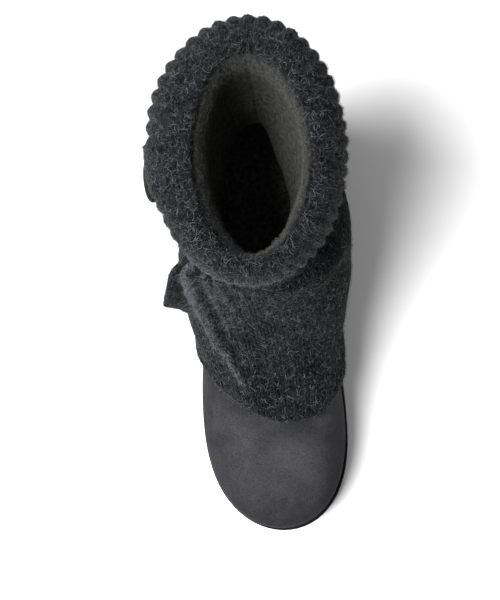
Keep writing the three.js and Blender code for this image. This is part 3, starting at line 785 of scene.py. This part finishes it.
# Knitted sleeve: the CAD's bags and folds, with finer folds, its columns and a soft hem
sleeveSet = {
    "columns": 456, "rows": 150, "wall": 4, "seat": 0.5, "bag": 12, "fold": 5, "foldWidth": 8,
    "freeFrom": (0, 0.3), "freeTo": (0.6, 0.74), "fineFrom": (0, 0.15), "fineTo": (0.66, 0.78), "ease": 1,
    "topDrop": 10, "stitchColumns": 76, "courses": 62, "ribDepth": 0.35, "uneven": 0.8, "waveSize": 22,
    "askewFrom": 0.3, "hemThicker": 0.12, "hemThickUp": 0.02, "highlightFrom": 0.1, "highlightShare": 4.0,
}
# How far the columns are pulled askew, at which turn and over how many degrees
askews = [[0.1, 150, 34], [-0.02, 215, 26]]
# Bags of the knit: turn, height share, depth share, and spread both ways
bags = [
    [270, 0.73, 0.88, 36, 0.16], [232, 0.65, 0.65, 22, 0.13], [98, 0.7, 0.6, 32, 0.15],
    [130, 0.72, 0.85, 20, 0.13], [118, 0.5, 0.5, 18, 0.09], [0, 0.64, 0.3, 46, 0.12],
]
# Ridges from place to place, in degrees and height shares, then depth and width shares
folds = [
    [122, 0.87, 137, 0.7, 1.0, 0.5], [137, 0.7, 148, 0.58, 1.05, 0.44], [148, 0.58, 162, 0.52, 0.7, 0.4],
    [130, 0.8, 182, 0.77, 0.4, 0.5], [146, 0.76, 166, 0.6, 0.5, 0.36], [122, 0.78, 134, 0.36, 0.2, 0.9],
    [190, 0.76, 236, 0.75, 0.6, 0.9], [300, 0.62, 350, 0.72, 0.4, 1], [20, 0.7, 70, 0.62, 0.4, 1],
]
# Finer ones in the same columns
fineFolds = [
    [122, 0.87, 137, 0.7, 0.42, 0.24], [137, 0.7, 148, 0.58, 0.48, 0.24], [148, 0.58, 162, 0.52, 0.4, 0.22],
    [130, 0.87, 146, 0.7, 0.26, 0.18], [146, 0.7, 156, 0.6, 0.26, 0.18],
    [138, 0.87, 154, 0.72, 0.26, 0.18], [154, 0.72, 166, 0.64, 0.22, 0.2], [148, 0.85, 168, 0.73, 0.2, 0.18],
    [205, 0.62, 236, 0.54, 0.12, 0.45],
]
# Millimetres round the opening for each degree of turn
perDegree = math.pi * (boot["openingLength"] + boot["openingWidth"]) / 2 / 360
# The knit's section, up the outside and down the inside: height share and share of its thickness
sleeveSection = [
    [0.0, 0.004, 0.15], [0.012, -0.012, 0.45], [0.026, -0.004, 0.85], [0.045, 0.03, 1.0], [0.74, 0.985, 1.0],
    [0.755, 1.0, 0.8], [0.77, 1.004, 0.4], [0.785, 1.0, 0.1], [0.8, 0.97, 0.0], [0.98, 0.03, 0.0], [1.0, 0.004, 0.15],
]


# The fourth power keeps ridges that meet from adding up to a lump
def ridges(rows, turn, up):
    total = np.zeros(len(turn))
    for fromTurn, fromUp, toTurn, toUp, depth, width in rows:
        wayX = (toTurn - fromTurn) * perDegree
        wayY = (toUp - fromUp) * boot["collarHeight"]
        x = (turn - fromTurn) * perDegree
        y = (up - fromUp) * boot["collarHeight"]
        part = np.clip((x * wayX + y * wayY) / (wayX ** 2 + wayY ** 2), 0, 1)
        away = np.hypot(x - part * wayX, y - part * wayY) / (width * sleeveSet["foldWidth"])
        total += (depth * np.exp(-away * away)) ** 4
    return total ** 0.25


def standOff(turn, up, share):
    free = smooth(share, *sleeveSet["freeFrom"]) * (1 - smooth(share, *sleeveSet["freeTo"]))
    bag = np.zeros(len(turn))
    for at, height, depth, wide, tall in bags:
        apart = np.abs((turn - at + 540) % 360 - 180)
        bag += depth * np.exp(-((apart / wide) ** 2) - ((up - height) / tall) ** 2)
    ease = sleeveSet["ease"] * smooth(share, 0, 0.1) * (1 - smooth(share, 0.9, 1))
    return ease + (bag * sleeveSet["bag"] + ridges(folds, turn, up) * sleeveSet["fold"]) * free


def sleeveAt(angle, share, distance):
    turn = np.degrees(angle)
    top = 1 - sleeveSet["topDrop"] / boot["collarHeight"]
    up = mix(hemAt(turn), top, share)
    return up, sleeveSet["seat"] + distance + standOff(turn, up, share)


# The knit is pulled askew over the outer front, so its columns run towards the toe there
def laySleeve(uv):
    share = readRows(sleeveSection, uv[:, 1])[:, 0]
    askew = sum(pull * hump(uv[:, 0] * 360, at, spread) for pull, at, spread in askews)
    return np.stack([uv[:, 0] + askew * (share - sleeveSet["askewFrom"]), uv[:, 1]], axis=1)


def placeSleeve(u, v):
    angle = u * 2 * math.pi
    share, thick = readRows(sleeveSection, v).T
    up, distance = sleeveAt(angle, share, np.clip(thick, 0, 1) * sleeveSet["wall"])
    face = smooth(thick, 0.5, 1)
    base = surfaceAt(angle, up)
    across = laySleeve(np.stack([u, v], axis=1))[:, 0]
    relief = ribWave(across, sleeveSet["stitchColumns"]) * sleeveSet["ribDepth"]
    relief = relief + cloth(base, sleeveSet["waveSize"], seed=5) * sleeveSet["uneven"]
    fold = ridges(fineFolds, np.degrees(angle), up) * smooth(share, *sleeveSet["fineFrom"])
    fold = fold * (1 - smooth(share, *sleeveSet["fineTo"]))
    relief = relief + fold * sleeveSet["fold"]
    edge = 1 + sleeveSet["hemThicker"] * hump(share, sleeveSet["hemThickUp"], sleeveSet["hemThickUp"])
    # Painted highlight: how far each place lies on a fold's crest, which the knit and its fuzz paint paler
    paintedLight = np.clip((fold * face - sleeveSet["highlightFrom"]) * sleeveSet["highlightShare"], 0, 1)
    return base + outwardAt(angle, up) * (distance * edge + face * relief)[:, None], paintedLight


sleeveFuzz = {
    "count": 30000, "seed": 21, "length": 3.4, "lift": 1.1, "bend": 0.9, "width": 0.19, "steps": 3, "sit": 0.12,
    "onCrest": 2.0, "comb": 0.35, "combWay": (0.0, -0.6, -0.8),
    "middleY": -0.02, "side": 1, "facingUp": 0.3, "below": 0.178,
}
fuzzLook = {
    "dark": (0.003, 0.0034, 0.0038, 1), "pale": (0.145, 0.153, 0.163, 1), "roughness": 0.9, "sheen": 0.2,
}
knitSleeveMaterial = knitMaterial("sleeveKnit", sleeveSet["stitchColumns"], sleeveSet["courses"])
fuzzMaterial = fibreMaterial("woolFuzz", fuzzLook)
sleeve = wrapGrid("knit_shaft", sleeveSet["columns"], sleeveSet["rows"], placeSleeve, lay=laySleeve)
finishPiece(sleeve, knitSleeveMaterial, "knit", "knit_sleeve")


def onSleeveFace(centre, normal):
    return turnedOut(centre, normal, sleeveFuzz) * (centre[:, 2] < sleeveFuzz["below"])


finishPiece(addFuzz("sleeve_fuzz", sleeve, sleeveFuzz, onSleeveFace), fuzzMaterial, "knit")

# Cuff: thick ribs turned down over the sleeve, the front end lapping the back end
cuffSet = {
    "pointsPerRib": 12, "rows": 108, "depth": 58, "thickness": 7.5, "roll": 4, "reach": 18, "reachBack": 2.5,
    "reachOuter": 3, "fullness": 3.5, "fullestAt": 68, "lapSpread": 32, "overSleeve": 7.2,
    "pinch": 4.6, "pinchTurn": 172, "pinchSpread": 42, "trim": 2.2, "trimTurn": 30, "trimSpread": 48,
    "ribs": 48, "ribDepth": 2.2, "calm": 0.75, "calmTurn": 158, "calmSpread": 46, "lapCalm": 0.8,
    "lapThickness": 2.4, "lapEnd": 84, "lapEdge": 0.7, "lapFades": 118,
    "underButton": 1.0, "buttonTurn": 98, "buttonSpread": 20, "stitchColumns": 96, "courses": 84,
    "uneven": 0.7, "waveSize": 26, "unevenUp": 0.6, "hemWave": 1.6, "hemWaveSize": 34,
}
# Cuff section: reach, thickness, drop, ribs, lean over the rim, and whether it stays off the sleeve
cuffSection = [
    [0.83, 0, 0.985, 0.6, 0, 0], [0.85, 0, 0.96, 0.9, 0, 0], [0.87, 0, 0.8, 1, 0, 0], [0.94, 0, 0.6, 1, 0, 0],
    [0.99, 0, 0.42, 1, 0, 0], [0.96, 0, 0.27, 1, 0, 0], [0.85, 0, 0.15, 0.9, 0, 0], [0.68, 0, 0.07, 0.75, 0, 0],
    [0.48, 0, 0.025, 0.6, 0, 0], [0.26, 0, 0.005, 0.45, 0.1, 0], [0.08, -0.05, 0, 0.3, 0.35, 0],
    [0, 0, 0.012, 0.15, 0.85, 0], [0, 0, 0.035, 0, 1, 0], [0, 0, 0.055, 0, 0.8, 0], [0, 0.0, 0.06, 0, 0, 0],
    [0.4, -0.3, 0.16, 0, 0, 0.3], [0.8, -0.62, 0.32, 0, 0, 1], [0.88, -0.66, 0.96, 0, 0, 1],
    [0.86, -0.4, 1.0, 0.2, 0, 0.5], [0.83, 0, 0.985, 0.6, 0, 0],
]


def collarOut(angle, out, height):
    top = np.ones(len(angle))
    across = surfaceAt(angle + probe, top) - surfaceAt(angle - probe, top)
    side = unit(np.cross(across, np.array([0, 0, 1.0])))
    points = surfaceAt(angle, top) + side * out[:, None]
    points[:, 2] = height
    return points


# Turns evenly spaced along the cuff's outer face
fineTurn = np.linspace(0, 2 * math.pi, 2400)
cuffLine = collarOut(fineTurn, np.full(len(fineTurn), float(cuffSet["reach"])), 0)
cuffLength = np.concatenate([[0], np.cumsum(np.linalg.norm(np.diff(cuffLine, axis=0), axis=1))])


def evenTurn(u):
    return np.interp(u * cuffLength[-1], cuffLength, fineTurn)


def reachAt(angle):
    turn = np.degrees(angle)
    fuller = cuffSet["fullness"] * hump(turn, cuffSet["fullestAt"], cuffSet["lapSpread"])
    slimmer = cuffSet["pinch"] * hump(turn, cuffSet["pinchTurn"], cuffSet["pinchSpread"])
    slimmer = slimmer + cuffSet["trim"] * around(turn, cuffSet["trimTurn"], cuffSet["trimSpread"])
    even = cuffSet["reach"] + cuffSet["reachBack"] * np.cos(angle) + cuffSet["reachOuter"] * np.sin(angle)
    return even + fuller - slimmer


def lapAt(angle):
    turn = np.degrees(angle)
    end, fades, edge = cuffSet["lapEnd"], cuffSet["lapFades"], cuffSet["lapEdge"]
    return smooth(turn, end - edge, end + edge) * (1 - smooth(turn, (end + fades) / 2, fades))


def cuffAt(u, section):
    angle = evenTurn(u)
    turn = np.degrees(angle)
    reach, thick, down, rib, lean, off = section.T
    lap = lapAt(angle) * rib
    calm = 1 - cuffSet["calm"] * hump(turn, cuffSet["calmTurn"], cuffSet["calmSpread"])
    calm = (1 - cuffSet["lapCalm"] * lap) * calm
    ribs = cuffSet["ribDepth"] * ribWave(u, cuffSet["ribs"]) * rib * calm
    out = reach * reachAt(angle) + thick * cuffSet["thickness"] + ribs + lap * cuffSet["lapThickness"]
    out = np.maximum(out, off * cuffSet["overSleeve"]) - lean * rimAt(angle)[0]
    pressed = cuffSet["underButton"] * hump(turn, cuffSet["buttonTurn"], cuffSet["buttonSpread"])
    out = out - pressed * smooth(down, 0.15, 0.4) * smooth(reach, 0.5, 0.8)
    return angle, out, boot["collarHeight"] + cuffSet["roll"] - down * cuffSet["depth"]


def placeCuff(u, v):
    section = readEven(cuffSection, v)
    angle, out, height = cuffAt(u, section)
    points = collarOut(angle, out, height)
    soft = cloth(points, cuffSet["waveSize"], seed=6) * cuffSet["uneven"] * np.clip(section[:, 3], 0, 1)
    wave = cloth(points * [1, 1, 0], cuffSet["hemWaveSize"], seed=12) * smooth(section[:, 2], 0.6, 1)
    wave = wave * cuffSet["hemWave"]
    points = collarOut(angle, out + soft, height)
    points[:, 2] += soft * cuffSet["unevenUp"] + wave
    return points, np.zeros(len(u))


cuffMaterial = knitMaterial("cuffKnit", cuffSet["stitchColumns"], cuffSet["courses"])
cuff = wrapGrid("turned_cuff", cuffSet["ribs"] * cuffSet["pointsPerRib"], cuffSet["rows"], placeCuff)
finishPiece(cuff, cuffMaterial, "knit", "ribbed_cuff")
cuffFuzz = {
    "count": 32000, "seed": 22, "length": 3.0, "lift": 1.2, "bend": 1.1, "width": 0.19, "steps": 3, "sit": 0.12,
    "onCrest": 0, "comb": 0.1, "combWay": (0.0, 0.0, -1.0),
    "middleY": -0.01, "side": 1, "facingUp": 0.2, "above": 0.2,
}


def onCuffFace(centre, normal):
    return turnedOut(centre, normal, cuffFuzz) | (centre[:, 2] > cuffFuzz["above"])


finishPiece(addFuzz("cuff_fuzz", cuff, cuffFuzz, onCuffFace), fuzzMaterial, "knit")

# Side flap: the wrapped knit's corner, thick at its root and soft at its tip
flapSet = {
    "columns": 40, "rows": 60, "reach": 22, "thickness": 4.2, "root": -3.5, "curl": 3.0,
    "tipFrom": 0.82, "tipLength": 0.18, "sidePower": 8, "thinnest": 0.04, "stitchColumns": 22, "courses": 14,
}
# From the flap's top to its lower corner: turn and share of the sleeve's height at the root, share of
# the reach, and how far it sways towards the toe and droops
flapRows = [
    [127, 0.7, 0.14, 0.0, 0.0], [128.5, 0.62, 0.38, 0.05, 0.05], [130, 0.54, 0.62, 0.1, 0.1],
    [131.5, 0.45, 0.9, -0.05, 0.15], [133, 0.37, 1.0, -0.4, 0.2], [134, 0.3, 0.94, -0.75, 0.15],
]


def flapRoot(rows):
    angle = np.radians(rows[:, 0])
    up, distance = sleeveAt(angle, rows[:, 1], np.full(len(rows), float(sleeveSet["wall"])))
    return offsetAt(angle, up, distance), outwardAt(angle, up)


def placeFlap(u, v):
    rows = readEven(flapRows, v)
    root, out = flapRoot(rows)
    front = u * 2 < 1
    t = np.where(front, u * 2, 2 - u * 2)
    reach = flapSet["root"] + t * (rows[:, 2] * flapSet["reach"] - flapSet["root"])
    sway = np.stack([np.zeros(len(u)), -rows[:, 3] * reach, -rows[:, 4] * reach], axis=1)
    ends = flapRoot(readEven(flapRows, np.array([0.0, 1.0])))[0]
    thickWay = unit(np.cross(out, (ends[1] - ends[0])[None, :]))
    atTip = np.clip((t - flapSet["tipFrom"]) / flapSet["tipLength"], 0, 1)
    atSides = (2 * v - 1) ** flapSet["sidePower"]
    thinner = np.sqrt(np.clip(1 - atTip ** 2, 0, 1)) * np.sqrt(np.clip(1 - atSides, 0, 1))
    half = np.where(front, 0.5, -0.5) * flapSet["thickness"] * np.maximum(thinner, flapSet["thinnest"])
    curl = flapSet["curl"] * t ** 2 * np.sin(math.pi * v)
    return root + out * reach[:, None] + sway + thickWay * (half + curl)[:, None], np.zeros(len(u))


flap = wrapGrid("knit_flap", flapSet["columns"], flapSet["rows"], placeFlap, closeUp=False)
flapMaterial = knitMaterial("flapKnit", flapSet["stitchColumns"], flapSet["courses"])
finishPiece(flap, flapMaterial, "knit", "side_flap")
flapFuzz = {
    "count": 3200, "seed": 23, "length": 3.2, "lift": 0.9, "bend": 0.9, "width": 0.22, "steps": 3, "sit": 0.1,
    "onCrest": 0, "comb": 0.2, "combWay": (0.0, 0.0, -1.0),
}
finishPiece(addFuzz("flap_fuzz", flap, flapFuzz), fuzzMaterial, "knit")

# Button: the CAD's disc with soft edges
button = copyOfNode("cuff_button", "large_button", sharpAt=40)
finishPiece(button, buttonMaterial(), "button", "cuff_button")

# Floor, light and camera
stageSet = {"floor": 30.0, "floorShade": (0.92, 0.92, 0.92, 1), "floorRoughness": 0.9, "sky": 0.36}
lightSet = {"place": (-0.9, -0.22, 1.45), "aim": (0, -0.08, 0.1), "size": 1.6, "power": 97}


def makeStage():
    floor = addObject("floor", gridMesh("floor", 1, 1, stageSet["floor"] / 2))
    material = bpy.data.materials.new("paleFloor")
    material.use_nodes = True
    shader = material.node_tree.nodes["Principled BSDF"]
    shader.inputs["Base Color"].default_value = stageSet["floorShade"]
    shader.inputs["Roughness"].default_value = stageSet["floorRoughness"]
    floor.data.materials.append(material)
    world = bpy.data.worlds.new("studio")
    bpy.context.scene.world = world
    world.use_nodes = True
    world.node_tree.nodes["Background"].inputs["Color"].default_value = (1, 1, 1, 1)
    world.node_tree.nodes["Background"].inputs["Strength"].default_value = stageSet["sky"]
    bpy.context.scene.view_settings.view_transform = "Standard"


def makeLight():
    data = bpy.data.lights.new("keyLight", "AREA")
    data.shape = "DISK"
    data.size = lightSet["size"]
    data.energy = lightSet["power"]
    lamp = addObject("keyLight", data)
    lamp.location = lightSet["place"]
    lamp.rotation_euler = (Vector(lightSet["aim"]) - lamp.location).to_track_quat("-Z", "Y").to_euler()


# The photo looks straight down from a metre above the floor, between the pair
cameraSet = {
    "place": (0.062, -0.070, 1.0), "aim": (-0.006, -0.086, 0.1),
    "photoFocus": 1083, "closer": 1.42, "sensor": 36, "frameHeight": 600,
}


def makeCamera():
    data = bpy.data.cameras.new("camera")
    data.sensor_fit = "VERTICAL"
    data.sensor_height = cameraSet["sensor"]
    data.lens = cameraSet["photoFocus"] * cameraSet["closer"] * cameraSet["sensor"] / cameraSet["frameHeight"]
    camera = addObject("camera", data)
    look = (Vector(cameraSet["aim"]) - Vector(cameraSet["place"])).normalized()
    right = look.cross(Vector((0, 1, 0))).normalized()
    up = right.cross(look)
    turn = Matrix((right, up, -look)).transposed()
    camera.matrix_world = Matrix.Translation(cameraSet["place"]) @ turn.to_4x4()
    bpy.context.scene.camera = camera


makeStage()
makeLight()
makeCamera()
print("floor, light and camera done")
